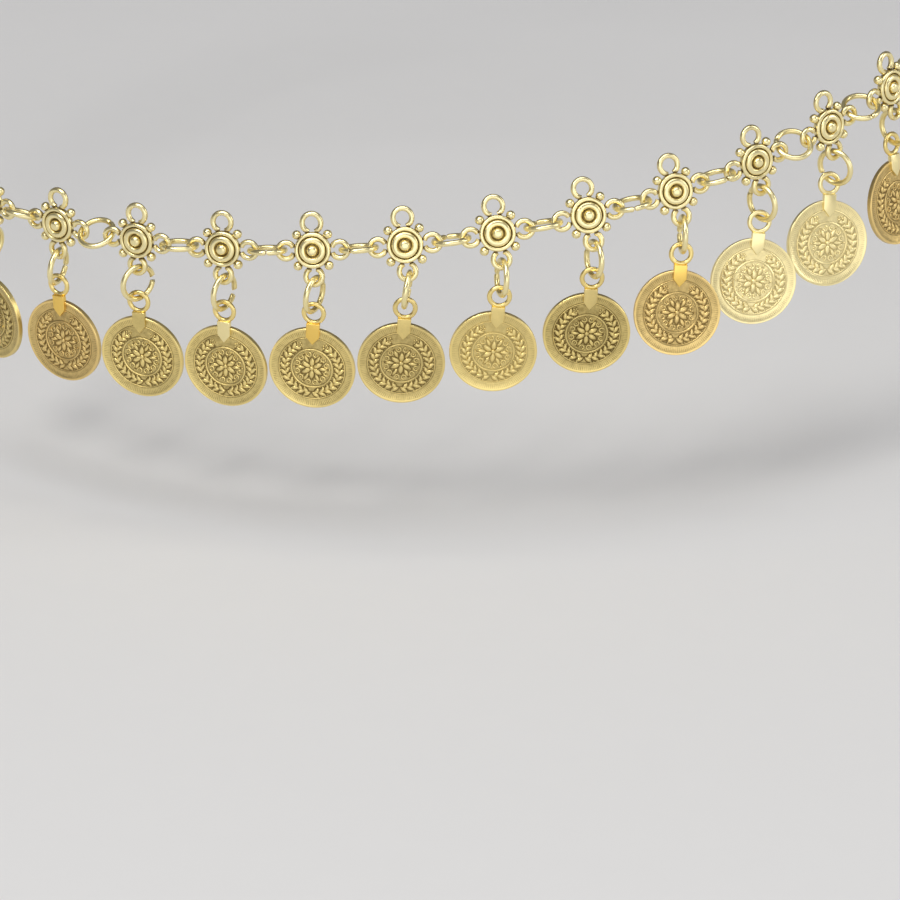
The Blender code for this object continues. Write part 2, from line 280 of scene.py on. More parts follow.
def finish_shape(name, angle=40):
    """Leaves edit mode with all faces outwards, the place applied and the shading smooth."""
    bpy.ops.mesh.select_all(action="SELECT")
    bpy.ops.mesh.normals_make_consistent(inside=False)
    bpy.ops.object.mode_set(mode="OBJECT")
    obj = bpy.context.object
    obj.name = name
    bpy.ops.object.transform_apply(location=True, rotation=True, scale=True)
    bpy.ops.object.shade_smooth_by_angle(angle=math.radians(angle))
    return obj


def turned(name, profile, steps):
    """A disc extruded ring by ring along a profile of (radius, height) points."""
    deselect_all()
    radius, height = profile[0]
    bpy.ops.mesh.primitive_circle_add(
        vertices=steps, radius=radius, fill_type="NGON", location=(0, 0, height)
    )
    bpy.ops.object.mode_set(mode="EDIT")
    for next_radius, next_height in profile[1:]:
        rise = (0, 0, next_height - height)
        bpy.ops.mesh.extrude_region_move(TRANSFORM_OT_translate={"value": rise})
        ratio = next_radius / radius
        bpy.ops.transform.resize(value=(ratio, ratio, 1), center_override=(0, 0, 0))
        radius = next_radius
        height = next_height
    return finish_shape(name)


def wire_arc(name, radius, wire, start=0.0, sweep=math.tau, steps=32, sides=10, depth=1.0):
    """Wire bent round Z from a start angle. depth flattens it along Z."""
    deselect_all()
    place = (radius, 0, 0)
    bpy.ops.mesh.primitive_circle_add(
        vertices=sides, radius=wire / 2, location=place, rotation=(math.pi / 2, 0, 0)
    )
    bpy.ops.object.mode_set(mode="EDIT")
    bpy.ops.mesh.select_all(action="SELECT")
    bpy.ops.transform.resize(value=(1, 1, depth), center_override=place)
    bpy.ops.mesh.spin(steps=steps, angle=sweep, center=(0, 0, 0), axis=(0, 0, 1))
    bpy.ops.mesh.select_all(action="SELECT")
    bpy.ops.mesh.remove_doubles(threshold=wire / 100)
    bpy.ops.mesh.fill_holes(sides=0)
    obj = finish_shape(name)
    obj.data.transform(Matrix.Rotation(start + sweep, 4, "Z"))
    return obj


def bead(name, radius, place, stretch=(1, 1, 1), segments=14, rings=8):
    """A small ball, stretched where it stands."""
    deselect_all()
    bpy.ops.mesh.primitive_uv_sphere_add(
        segments=segments, ring_count=rings, radius=radius, location=place
    )
    bpy.ops.object.mode_set(mode="EDIT")
    bpy.ops.mesh.select_all(action="SELECT")
    bpy.ops.transform.resize(value=stretch, center_override=place)
    return finish_shape(name, 60)


def paint_recess(obj, depth_at):
    """Keeps how deep each point lies in the relief, from 0 on top to 1 at the bottom; the materials paint
    shade with wax by it, and a highlight with polish near 0.
    """
    layers = obj.data.attributes
    recess = layers.get("recess") or layers.new("recess", "FLOAT", "POINT")
    for point, value in zip(obj.data.vertices, recess.data):
        value.value = min(1.0, max(0.0, depth_at(point.co)))


def joined(name, parts):
    """The parts as one mesh object."""
    deselect_all()
    for part in parts:
        part.select_set(True)
    bpy.context.view_layer.objects.active = parts[0]
    bpy.ops.object.join()
    parts[0].name = name
    return parts[0]


def copied(name, master, matrix):
    """A copy of a master with its own mesh, placed in the mesh."""
    obj = master.copy()
    obj.data = master.data.copy()
    obj.name = name
    obj.data.name = name
    obj.data.transform(matrix)
    bpy.context.scene.collection.objects.link(obj)
    return obj


def remove(obj):
    mesh = obj.data
    bpy.data.objects.remove(obj)
    bpy.data.meshes.remove(mesh)


def stand_for(obj, node, body):
    """The piece takes a solid's place and moves with its body."""
    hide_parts(node)
    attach(obj, body)


def group_tree(name, inputs, outputs):
    """An empty shader node group with number sockets, or vector sockets where named so."""
    tree = bpy.data.node_groups.new(name, "ShaderNodeTree")
    for socket, value in inputs:
        kind = "NodeSocketVector" if value is None else "NodeSocketFloat"
        made = tree.interface.new_socket(name=socket, in_out="INPUT", socket_type=kind)
        if value is not None:
            made.default_value = value
    for socket in outputs:
        tree.interface.new_socket(name=socket, in_out="OUTPUT", socket_type="NodeSocketFloat")
    return tree, tree.nodes.new("NodeGroupInput"), tree.nodes.new("NodeGroupOutput")


def maths(tree, operation, first, second=0.0):
    """A Math node. Each operand is a number or a socket."""
    node = tree.nodes.new("ShaderNodeMath")
    node.operation = operation
    for socket, value in zip(node.inputs, (first, second)):
        if isinstance(value, (int, float)):
            socket.default_value = value
        else:
            tree.links.new(value, socket)
    return node.outputs[0]


def mapped(tree, value, low, high, to_low, to_high):
    """A smooth change of one range of values to another."""
    node = tree.nodes.new("ShaderNodeMapRange")
    node.interpolation_type = "SMOOTHSTEP"
    tree.links.new(value, node.inputs["Value"])
    for socket, number in zip(("From Min", "From Max", "To Min", "To Max"), (low, high, to_low, to_high)):
        node.inputs[socket].default_value = number
    return node.outputs[0]


def noise(tree, vector, scale, detail, roughness=0.5):
    node = tree.nodes.new("ShaderNodeTexNoise")
    tree.links.new(vector, node.inputs["Vector"])
    node.inputs["Scale"].default_value = scale
    node.inputs["Detail"].default_value = detail
    node.inputs["Roughness"].default_value = roughness
    return node.outputs["Fac"]


def plating_group():
    """Uneven gold plate: a cloudy tone and fine pitting."""
    tree, given, result = group_tree(
        "Gold plating", (("Vector", None), ("Clouds", 0.5)), ("Tone", "Height")
    )
    clouds = noise(tree, given.outputs["Vector"], 260, 3)
    fine = noise(tree, given.outputs["Vector"], 2400, 4, 0.65)
    spread = mapped(tree, clouds, 0.32, 0.68, 0.0, 1.0)
    cloudy = maths(tree, "MULTIPLY", spread, given.outputs["Clouds"])
    speck = maths(tree, "MULTIPLY", fine, 0.5)
    tree.links.new(maths(tree, "ADD", cloudy, speck), result.inputs["Tone"])
    tree.links.new(fine, result.inputs["Height"])
    return tree


def patina_and_shade_group():
    """Mask of the dark colour: wax left in the recesses together with painted shade there, worn off the
    high places.
    """
    tree, given, result = group_tree(
        "Antique patina", (("Vector", None), ("Recess", 0.0), ("Amount", 1.0)), ("Mask",)
    )
    rough_edge = noise(tree, given.outputs["Vector"], 900, 4, 0.6)
    wander = maths(tree, "MULTIPLY", maths(tree, "SUBTRACT", rough_edge, 0.5), 0.7)
    depth = maths(tree, "ADD", given.outputs["Recess"], wander)
    mask = maths(tree, "MULTIPLY", mapped(tree, depth, 0.25, 0.95, 0.0, 1.0), given.outputs["Amount"])
    tree.links.new(mask, result.inputs["Mask"])
    return tree


def reeding_group():
    """Fine ribs across the flat band of a coin, whose face fills its map from edge to edge."""
    tree, given, result = group_tree("Coin reeding", (("Face", None), ("Ribs", 128.0)), ("Height",))
    split = tree.nodes.new("ShaderNodeSeparateXYZ")
    tree.links.new(given.outputs["Face"], split.inputs["Vector"])
    across = maths(tree, "SUBTRACT", split.outputs["X"], 0.5)
    up = maths(tree, "SUBTRACT", split.outputs["Y"], 0.5)
    angle = maths(tree, "ARCTAN2", up, across)
    rib = maths(tree, "SINE", maths(tree, "MULTIPLY", angle, given.outputs["Ribs"]))
    squared = maths(tree, "ADD", maths(tree, "MULTIPLY", across, across), maths(tree, "MULTIPLY", up, up))
    radius = maths(tree, "SQRT", squared)
    inner = mapped(tree, radius, 0.405, 0.440, 0.2, 1.0)
    outer = mapped(tree, radius, 0.466, 0.474, 1.0, 0.0)
    band = maths(tree, "MULTIPLY", inner, outer)
    tree.links.new(maths(tree, "MULTIPLY", rib, band), result.inputs["Height"])
    return tree


def placed_group(tree, group, **inputs):
    """A node group placed in a material, with numbers set and sockets linked."""
    node = tree.nodes.new("ShaderNodeGroup")
    node.node_tree = group
    for name, value in inputs.items():
        if isinstance(value, (int, float)):
            node.inputs[name].default_value = value
        else:
            tree.links.new(value, node.inputs[name])
    return node


def mixed_colour(tree, factor, first, second):
    """A blend of two colours, each a value or a socket."""
    node = tree.nodes.new("ShaderNodeMix")
    node.data_type = "RGBA"
    tree.links.new(factor, node.inputs["Factor"])
    for socket, value in zip((node.inputs["A"], node.inputs["B"]), (first, second)):
        if isinstance(value, bpy.types.NodeSocket):
            tree.links.new(value, socket)
        else:
            socket.default_value = (*value, 1.0)
    return node.outputs["Result"]


def gold(
    name, colour, light, patina_and_shade, groups, roughness, amount=1.0, clouds=0.5, pitting=0.4, reeded=False
):
    """Gold plate darkened in its recesses by wax with painted shade, and lighter on its high places, which
    are polished and carry a painted highlight.
    """
    material = bpy.data.materials.new(name)
    material.use_nodes = True
    tree = material.node_tree
    shader = tree.nodes["Principled BSDF"]
    place = tree.nodes.new("ShaderNodeTexCoord").outputs["Object"]
    depth = tree.nodes.new("ShaderNodeAttribute")
    depth.attribute_name = "recess"
    plating = placed_group(tree, groups["plating"], Vector=place, Clouds=clouds)
    tone = plating.outputs["Tone"]
    height = plating.outputs["Height"]
    recess = depth.outputs["Fac"]
    if reeded:
        face = tree.nodes.new("ShaderNodeUVMap")
        face.uv_map = "face"
        ribs = placed_group(tree, groups["reeding"], Face=face.outputs["UV"])
        height = maths(tree, "ADD", height, maths(tree, "MULTIPLY", ribs.outputs["Height"], 0.8))
        # Painted shade with wax between the ribs, which are only a bump
        recess = maths(tree, "SUBTRACT", recess, maths(tree, "MULTIPLY", ribs.outputs["Height"], 0.16))
    # The dark mask: wax in the recesses together with painted shade there
    wax_and_shade = placed_group(tree, groups["patina_and_shade"], Vector=place, Recess=recess, Amount=amount).outputs["Mask"]
    # Lighter plate on the high places: polish together with a painted highlight
    polish_and_highlight = maths(tree, "ADD", tone, mapped(tree, recess, 0.0, 0.2, 0.6, 0.0))
    plate = mixed_colour(tree, polish_and_highlight, colour, light)
    tree.links.new(mixed_colour(tree, wax_and_shade, plate, patina_and_shade), shader.inputs["Base Color"])
    tree.links.new(mapped(tree, wax_and_shade, 0.0, 1.0, 1.0, 0.95), shader.inputs["Metallic"])
    uneven = maths(tree, "MULTIPLY", tone, 0.12)
    worn = maths(tree, "ADD", uneven, mapped(tree, wax_and_shade, 0.0, 1.0, roughness, roughness + 0.25))
    tree.links.new(worn, shader.inputs["Roughness"])
    bump = tree.nodes.new("ShaderNodeBump")
    bump.inputs["Strength"].default_value = pitting
    bump.inputs["Distance"].default_value = 0.00003
    tree.links.new(height, bump.inputs["Height"])
    tree.links.new(bump.outputs["Normal"], shader.inputs["Normal"])
    return material


def finish_materials():
    """The finishes of the cast, struck and bent pieces, by name."""
    colours = bpy.context.scene.chain_colours
    groups = {"plating": plating_group(), "patina_and_shade": patina_and_shade_group(), "reeding": reeding_group()}
    patina_and_shade = tuple(colours.patina_and_shade)
    antique = tuple(colours.antique)
    antique_polish_and_highlight = tuple(colours.antique_polish_and_highlight)
    bright = tuple(colours.bright)
    finishes = {
        "cast": gold("cast antique gold", antique, antique_polish_and_highlight, patina_and_shade, groups, 0.24),
        "ring": gold("bright ring wire", bright, antique_polish_and_highlight, patina_and_shade, groups, 0.25, 0.5, 0.4, 0.12),
        "link": gold("plain link wire", antique, bright, patina_and_shade, groups, 0.26, 0.7, 0.5, 0.2),
    }
    # For each finish of a coin: its plate, how much brighter its polished tops with their painted
    # highlight are, and how much wax with painted shade it keeps
    tints = {
        "pale": (colours.coin_pale, 1.0, 0.42),
        "warm": (colours.coin_warm, 1.35, 0.7),
        "yellow": (colours.coin_yellow, 1.22, 0.77),
        "soft": (colours.coin_yellow, 1.22, 0.42),
        "olive": (colours.coin_olive, 1.3, 0.72),
        "dark": (colours.coin_dark, 1.6, 0.85),
        "orange": (colours.tab_orange, 1.0, 0.5),
    }
    for name, (colour, polish_and_highlight_gain, amount) in tints.items():
        gain = min(polish_and_highlight_gain, 1 / max(colour))
        plate = (tuple(colour), tuple(gain * channel for channel in colour), patina_and_shade, groups)
        finishes[name] = gold(f"struck {name} gold", *plate, 0.32, amount, 0.3, 0.5, reeded=True)
        finishes[name + " tab"] = gold(f"soldered {name} tab", *plate, 0.26, amount)
    return finishes


FINISHES = {}


def get_finish(name):
    """A finish by name. All of them are made when the first is asked for."""
    if not FINISHES:
        FINISHES.update(finish_materials())
    return FINISHES[name]


def finished(obj, name):
    """The piece, given a finish by name."""
    obj.data.materials.append(get_finish(name))
    return obj


def button():
    """The domed round button: rolled rim, broad bead and boss, with narrow grooves between."""
    boss = bpy.context.scene.chain_sizes.boss_height
    profile = (
        (0.00390, -0.0006), (0.00412, -0.0005), (0.00420, -0.00025), (0.00420, 0.00040),
        (0.00415, 0.00068), (0.00403, 0.00087), (0.00385, 0.00096), (0.00352, 0.00096), (0.00336, 0.00088),
        (0.00327, 0.00068), (0.00322, 0.00048), (0.00308, 0.00048), (0.00303, 0.00082), (0.00294, 0.00102),
        (0.00276, 0.00116), (0.00240, 0.00124), (0.00206, 0.00124), (0.00184, 0.00116), (0.00170, 0.00094),
        (0.00164, 0.00054), (0.00148, 0.00048), (0.00132, 0.00054), (0.00126, 0.00100), (0.00116, 0.00138),
        (0.00094, boss - 0.00016), (0.00070, boss - 0.00003), (0.00042, boss), (0.00018, boss),
    )
    obj = turned("button", profile, 44)
    grooves = ((0.00315, 0.00015), (0.00148, 0.00022))

    # Painted shade with wax in the narrow grooves, a painted highlight with polish on the rim, bead and
    # boss
    def depth_at(place):
        radius = math.hypot(place.x, place.y)
        if place.z < 0.0001:
            return BACK_TONE
        return max(1.3 - abs(radius - groove) / width for groove, width in grooves)

    paint_recess(obj, depth_at)
    return obj


def flank_shade(height, top):
    """How dark a rounded piece is painted at a height: worn bright on top with a painted highlight,
    painted shade on its sides and behind.
    """
    return min(0.6, 0.5 - 0.8 * height / top)


def shade_at_rim(point, edge, fade):
    """How much painted shade, with wax, a piece gets where it meets the button's rim, and less further
    out.
    """
    return (edge - point.xy.length) / fade


def connector():
    """The casting: a button with four C-shaped loops and a ball in each corner."""
    sizes = bpy.context.scene.chain_sizes
    size = sizes.ball_radius
    parts = [button()]
    for x, y, radius in (
        (-SIDE_LOOP_REACH, 0, LOOP_RADIUS),
        (SIDE_LOOP_REACH, 0, LOOP_RADIUS),
        (0, -BOTTOM_LOOP_REACH, LOOP_RADIUS),
        (0, TOP_LOOP_REACH, TOP_LOOP_RADIUS),
    ):
        start = math.atan2(-y, -x) + LOOP_OPENING / 2
        wire = LOOP_WIRE + 2 * sizes.plate
        loop = wire_arc("loop", radius, wire, start, math.tau - LOOP_OPENING, 26, 10)
        loop.data.transform(Matrix.Translation((x, y, 0)))
        # Painted highlight on top of each loop, painted shade on its sides, behind it and at its foot by
        # the rim
        paint_recess(loop, lambda point: max(flank_shade(point.z, LOOP_WIRE / 2), shade_at_rim(point, 0.0050, 0.0007)))
        parts.append(loop)
    for corner in range(4):
        angle = math.radians(45 + 90 * corner)
        place = BALL_REACH * Vector((math.cos(angle), math.sin(angle), 0))
        ball = bead("ball", size, place)
        # Painted highlight on top of each ball, painted shade on its sides and at its foot by the rim
        paint_recess(ball, lambda point: max(flank_shade(point.z, size) - 0.1, shade_at_rim(point, 0.0047, 0.0005)))
        parts.append(ball)
    return joined("connector master", parts)


def jump_ring(opening, pinch):
    """Round wire bent to a ring and nipped off to a share of its height, with its cut at +X."""
    sizes = bpy.context.scene.chain_sizes
    deselect_all()
    place = (-RING_RADIUS, 0, 0)
    bpy.ops.mesh.primitive_circle_add(
        vertices=12, radius=RING_WIRE / 2, location=place, rotation=(math.pi / 2, 0, 0)
    )
    bpy.ops.object.transform_apply(location=True, rotation=True, scale=True)
    bpy.ops.object.mode_set(mode="EDIT")
    bpy.ops.mesh.select_all(action="SELECT")
    gap = (opening + 2 * sizes.nip_length) / RING_RADIUS
    bpy.ops.mesh.spin(steps=22, angle=math.pi - gap / 2, center=(0, 0, 0), axis=(0, 0, 1))
    bpy.ops.mesh.extrude_region_move(TRANSFORM_OT_translate={"value": (0, -sizes.nip_length, 0)})
    bpy.ops.transform.resize(value=(1, 1, pinch), center_override=(0, 0, 0))
    bpy.ops.mesh.edge_face_add()
    bpy.ops.object.mode_set(mode="OBJECT")
    obj = bpy.context.object
    mirror = obj.modifiers.new("other half", "MIRROR")
    mirror.use_axis = (False, True, False)
    mirror.merge_threshold = 0.00001
    bpy.ops.object.modifier_apply(modifier=mirror.name)
    bpy.ops.object.mode_set(mode="EDIT")
    obj = finish_shape("jump ring master")
    # Painted shade on the inner side of the ring's wire, lighter on its outer side
    paint_recess(obj, lambda point: 0.1 + 0.35 * (RING_RADIUS - point.xy.length) / (RING_WIRE / 2))
    return obj


def leaf():
    """A pointed leaf along X, half sunk, with its base at the origin."""
    deselect_all()
    bpy.ops.mesh.primitive_uv_sphere_add(
        segments=10, ring_count=6, radius=0.5, rotation=(0, math.pi / 2, 0)
    )
    bpy.ops.object.transform_apply(location=True, rotation=True, scale=True)
    bpy.ops.object.mode_set(mode="EDIT")
    select_points(lambda place: abs(place.x) > 0.4)
    bpy.ops.transform.resize(value=(1.25, 0.7, 0.7), center_override=(0, 0, 0))
    obj = finish_shape("leaf master", 60)
    # Painted shade with wax round the leaf's lower half, a painted highlight with polish on its top
    paint_recess(obj, lambda place: 1.0 - 2.1 * max(0.0, place.z))
    return obj


def coin_point(radius, degrees):
    """A point on the field of the coin, with angles counted from its right."""
    angle = math.radians(degrees)
    return Vector((radius * math.cos(angle), radius * math.sin(angle), FIELD))


def placed_leaf(masters, radius, degrees, turn, length, width):
    """A leaf laid on the coin's field, turned from the outward direction, with a flat dark skirt round it:
    painted shade at its foot with wax.
    """
    matrix = Matrix.Translation(coin_point(radius, degrees))
    matrix = matrix @ Matrix.Rotation(math.radians(degrees + turn), 4, "Z")
    raised = matrix @ Matrix.Diagonal((length, width, 2 * RELIEF, 1))
    # The flat dark skirt: painted shade with wax round the leaf's foot
    spread = matrix @ Matrix.Diagonal((length + WAX_AND_SHADE_SKIRT, width + WAX_AND_SHADE_SKIRT, WAX_AND_SHADE_SKIRT / 8, 1))
    return [copied("leaf", masters[0], raised), copied("wax_and_shade", masters[1], spread)]


def raised_line(radius, centre, start, sweep, wire, steps):
    """A thin raised line on the field, part of a circle, with a flat dark skirt along it: painted shade at
    its foot with wax.
    """
    start = math.radians(start)
    sweep = math.radians(sweep)
    line = wire_arc("line", radius, wire, start, sweep, steps, 6)
    # Painted shade with wax at the line's foot, a painted highlight with polish on its top
    paint_recess(line, lambda place: 1.0 - 2.2 * place.z / wire)
    # The flat dark skirt: painted shade with wax
    spread = wire_arc("wax_and_shade", radius, wire + 0.6 * WAX_AND_SHADE_SKIRT, start, sweep, steps, 6, 0.08)
    paint_recess(spread, lambda place: 1.0)
    for obj in (line, spread):
        obj.data.transform(Matrix.Translation(centre))
    return [line, spread]


def raised_dot(radius, degrees, size):
    dot = bead("dot", size, (0, 0, 0), (1, 1, 0.8), 8, 5)
    # Painted shade with wax at the dot's foot, a painted highlight with polish on its top
    paint_recess(dot, lambda place: 1.0 - place.z / size)
    dot.data.transform(Matrix.Translation(coin_point(radius, degrees)))
    return dot


def laurel(masters):
    """Two leafy sprigs that rise from the foot of the coin, with berries between the leaves."""
    parts = raised_line(0.00768, coin_point(0, 0), 0, 360, 0.00030, 60)
    for side in (-1, 1):
        parts += raised_line(0.00628, coin_point(0, 0), -90 + 10 * side, 134 * side, 0.00026, 30)
        for i in range(11):
            degrees = -90 + side * (9 + 13.2 * i)
            along = 90 * side
            parts += placed_leaf(masters, 0.00668, degrees, along - side * 40, 0.00172, 0.00104)
            parts += placed_leaf(masters, 0.00590, degrees + side * 3, along + side * 40, 0.00160, 0.00096)
        for i in range(10):
            parts.append(raised_dot(0.00738, -90 + side * (13 + 13.2 * i), 0.00026))
            parts.append(raised_dot(0.00524, -90 + side * (17 + 13.2 * i), 0.00024))
    for degrees in (62, 118):
        for petal in range(5):
            turn = 72 * petal
            offset = 0.00050 * Vector((math.cos(math.radians(turn)), math.sin(math.radians(turn)), 0))
            dot = raised_dot(0.0064, degrees, 0.00030)
            dot.data.transform(Matrix.Translation(offset))
            parts.append(dot)
    return parts


def rosette(masters):
    """A flower in the middle of the coin, inside a ring, with curled tendrils round it."""
    petals = bpy.context.scene.chain_sizes.petals
    step = 360 / petals
    parts = raised_line(0.00475, coin_point(0, 0), 0, 360, 0.00048, 48)
    for i in range(petals):
        degrees = 90 + step * i
        parts += placed_leaf(masters, 0.00150, degrees, 0, 0.00205, 0.00128)
        parts += placed_leaf(masters, 0.00262, degrees + step / 2, 0, 0.00185, 0.00088)
        for side in (-1, 1):
            centre = coin_point(0.00356, degrees + side * step * 0.22)
            parts += raised_line(0.00054, centre, degrees + 90 * side, 265 * side, 0.00042, 11)
            parts.append(raised_dot(0.00356, degrees + side * step * 0.22, 0.00020))
        parts.append(raised_dot(0.00416, degrees + step / 2, 0.00026))
    parts.append(raised_dot(0, 0, 0.00064))
    return parts


def coin_blank():
    """The struck disc: a plain back, a thin raised edge, a flat band and the sunk field."""
    sizes = bpy.context.scene.chain_sizes
    half = COIN_THICKNESS / 2
    inner = COIN_RADIUS - sizes.coin_edge
    profile = (
        (0.00950, -half + 0.00008), (0.00962, -half), (0.00990, -half), (0.01000, -half + 0.00010),
        (0.01000, half - 0.00010), (0.00990, half), (inner, half), (inner - 0.00012, half - 0.00010),
        (0.00806, half - 0.00010), (0.00796, half - 0.00012), (0.00788, FIELD), (0.00780, FIELD),
    )
    obj = turned("coin blank", profile, 96)

    # Painted highlight with polish on the raised edge; painted shade with wax over the flat band and,
    # darker, over the sunk field
    def depth_at(place):
        radius = place.xy.length
        if place.z < -half + 0.0002:
            return BACK_TONE
        if radius > inner - 0.0001:
            return 0.0
        return 0.42 if radius > 0.0080 else 0.56

    paint_recess(obj, depth_at)
    return obj


def washer_bail():
    """The flattened ring that hangs in a drop ring, in the coin's own axes."""
    wire = bpy.context.scene.chain_sizes.bail_wire
    bail = wire_arc("bail", BAIL_RADIUS, wire, 0, math.tau, 36, 12, 0.85)
    bail.data.transform(Matrix.Translation((0, BAIL_TO_COIN, 0)))
    # Painted highlight with polish on the bail's front, painted shade on its back
    paint_recess(bail, lambda place: 0.4 - 0.7 * place.z / (wire / 2))
    return bail


def pointed_tab():
    """The plate below the bail, whose point lies over the coin's upper edge."""
    deselect_all()
    top = BAIL_TO_COIN - BAIL_RADIUS - 0.0001
    straight = COIN_RADIUS - TAB_STRAIGHT
    point = COIN_RADIUS - TAB_POINT
    middle = (top + straight) / 2
    bpy.ops.mesh.primitive_plane_add(size=1, location=(0, 0, -0.0002))
    bpy.ops.object.transform_apply(location=True, rotation=True, scale=True)
    bpy.ops.object.mode_set(mode="EDIT")
    bpy.ops.mesh.select_all(action="SELECT")
    bpy.ops.transform.resize(value=(TAB_WIDTH, top - straight, 1), center_override=(0, 0, 0))
    bpy.ops.transform.translate(value=(0, middle, 0))
    select_points(lambda place: place.y < middle)
    bpy.ops.mesh.subdivide(number_cuts=1)
    select_points(lambda place: abs(place.x) < 0.0002)
    bpy.ops.transform.translate(value=(0, point - straight, 0))
    bpy.ops.mesh.select_all(action="SELECT")
    bpy.ops.mesh.extrude_region_move(TRANSFORM_OT_translate={"value": (0, 0, 0.0012)})
    bpy.ops.object.mode_set(mode="OBJECT")
    tab = bpy.context.object
    bevel = tab.modifiers.new("worn edges", "BEVEL")
    bevel.width = 0.00016
    bevel.segments = 3
    bpy.ops.object.modifier_apply(modifier=bevel.name)
    bpy.ops.object.mode_set(mode="EDIT")
    tab = finish_shape("tab")
    paint_recess(tab, lambda place: 0.15)
    return tab


def struck_coin():
    """The blank with its relief, centred on the origin."""
    # Master of the flat dark skirts, painted all dark: shade at the foot of the relief, with wax
    wax_and_shade = leaf()
    paint_recess(wax_and_shade, lambda place: 1.0)
    masters = (leaf(), wax_and_shade)
    coin = joined("coin master", [coin_blank(), *laurel(masters), *rosette(masters)])
    for master in masters:
        remove(master)
    return coin


def map_face(obj):
    """Lays the face map flat over the coin, so that it spans it from edge to edge."""
    face = obj.data.uv_layers.new(name="face")
    for loop, spot in zip(obj.data.loops, face.data):
        place = obj.data.vertices[loop.vertex_index].co
        spot.uv = (0.5 + place.x / (2 * COIN_RADIUS), 0.5 + place.y / (2 * COIN_RADIUS))


def pendant(coin, bail, tab, finish, tab_finish):
    """A coin with its bail and tab, its origin in the bail's top wire, with a finish for each."""
    parts = []
    bail_finish = "yellow" if finish == "warm" else finish
    for master, name in ((coin, finish), (bail, bail_finish + " tab"), (tab, tab_finish + " tab")):
        parts.append(finished(copied("part", master, Matrix.Identity(4)), name))
    obj = joined("pendant", parts)
    for layer in list(obj.data.uv_layers):
        obj.data.uv_layers.remove(layer)
    map_face(obj)
    obj.data.transform(Matrix.Translation((0, -BAIL_RADIUS - BAIL_TO_COIN, 0)))
    return obj


def long_ring(name, half_length, half_width, wire, steps, sides):
    """Wire bent to a ring with straight sides and round ends, along X in the XY plane."""
    deselect_all()
    bpy.ops.mesh.primitive_torus_add(
        major_radius=half_width, minor_radius=wire / 2, major_segments=steps, minor_segments=sides
    )
    bpy.ops.object.mode_set(mode="EDIT")
    for side in (1, -1):
        select_points(lambda place: side * place.x > 0)
        bpy.ops.transform.translate(value=(side * (half_length - half_width), 0, 0))
    return finish_shape(name)


def plain_link(half_length):
    link = long_ring("link master", half_length, LINK_HALF_WIDTH, LINK_WIRE, 30, 10)
    paint_recess(link, lambda place: 0.2)
    return link


Back = namedtuple("Back", "half_length left ring_at clasp_at right")


def back_layout():
    """A link's half length, and where the links, the clasp ring and the clasp lie along the loop."""
    ring_to_link = RING_RADIUS - (RING_WIRE + LINK_WIRE) / 2 - SEAT_GAP
    ring_to_clasp = RING_RADIUS - (RING_WIRE + CLASP_WIRE) / 2 - SEAT_GAP + CLASP_HALF_LENGTH
    eye_to_link = EYE_RADIUS - (LOOP_WIRE + LINK_WIRE) / 2 - SEAT_GAP
    fixed = 3 * ring_to_link + ring_to_clasp + EYE_REACH + eye_to_link
    joins = 2 * (LINKS_EACH_SIDE - 1)
    free = WAIST_LENGTH - UNITS * UNIT_PITCH - fixed + joins * (LINK_WIRE - LINK_JOIN)
    half_length = free / (2 * joins + 4)
    pitch = 2 * half_length - LINK_WIRE + LINK_JOIN
    first = UNITS / 2 * UNIT_PITCH + ring_to_link + half_length
    left = [first + i * pitch for i in range(LINKS_EACH_SIDE)]
    ring_at = left[-1] + half_length + ring_to_link
    clasp_at = ring_at + ring_to_clasp
    start = clasp_at + EYE_REACH + eye_to_link + half_length
    right = [start + i * pitch for i in range(LINKS_EACH_SIDE)]
    return Back(half_length, left, ring_at, clasp_at, right)


def closed_clasp():
    """The closed clasp along X: a thick round body, the lever in its side, its pin and the eye."""
    body = long_ring("clasp body", CLASP_HALF_LENGTH, CLASP_HALF_WIDTH, CLASP_WIRE, 38, 14)
    paint_recess(body, lambda place: 0.15)
    deselect_all()
    bpy.ops.mesh.primitive_cube_add(size=1, location=(0, 0, 0))
    bpy.ops.object.mode_set(mode="EDIT")
    bpy.ops.mesh.select_all(action="SELECT")
    bpy.ops.transform.resize(value=(0.0062, 0.0019, 0.0021), center_override=(0, 0, 0))
    bpy.ops.transform.translate(value=(-0.0004, -CLASP_HALF_WIDTH, 0))
    bpy.ops.mesh.bevel(offset=0.0006, segments=4, affect="EDGES")
    lever = finish_shape("lever")
    paint_recess(lever, lambda place: 0.2)
    pin = turned("pin", ((0.0005, -0.00125), (0.0006, -0.0012), (0.0006, 0.0012), (0.0005, 0.00125)), 16)
    pin.data.transform(Matrix.Translation((0.0020, -CLASP_HALF_WIDTH, 0)))
    paint_recess(pin, lambda place: 0.3)
    eye = wire_arc("eye", EYE_RADIUS, LOOP_WIRE, 0, math.tau, 26, 10)
    eye.data.transform(Matrix.Translation((EYE_REACH, 0, 0)) @ Matrix.Rotation(math.pi / 2, 4, "X"))
    paint_recess(eye, lambda place: 0.15)
    return joined("clasp master", [body, lever, pin, eye])


def length_setting(name, description, default):
    """A size that may be changed, in metres."""
    return FloatProperty(
        name=name, description=description, default=default, unit="LENGTH", precision=5
    )


def colour_setting(name, description, default):
    """A colour that may be changed."""
    return FloatVectorProperty(
        name=name, description=description, default=default, subtype="COLOR", min=0, max=1
    )


def power_setting(name, description, default):
    """The power of a light, in watts."""
    return FloatProperty(name=name, description=description, default=default, min=0.0, unit="POWER")


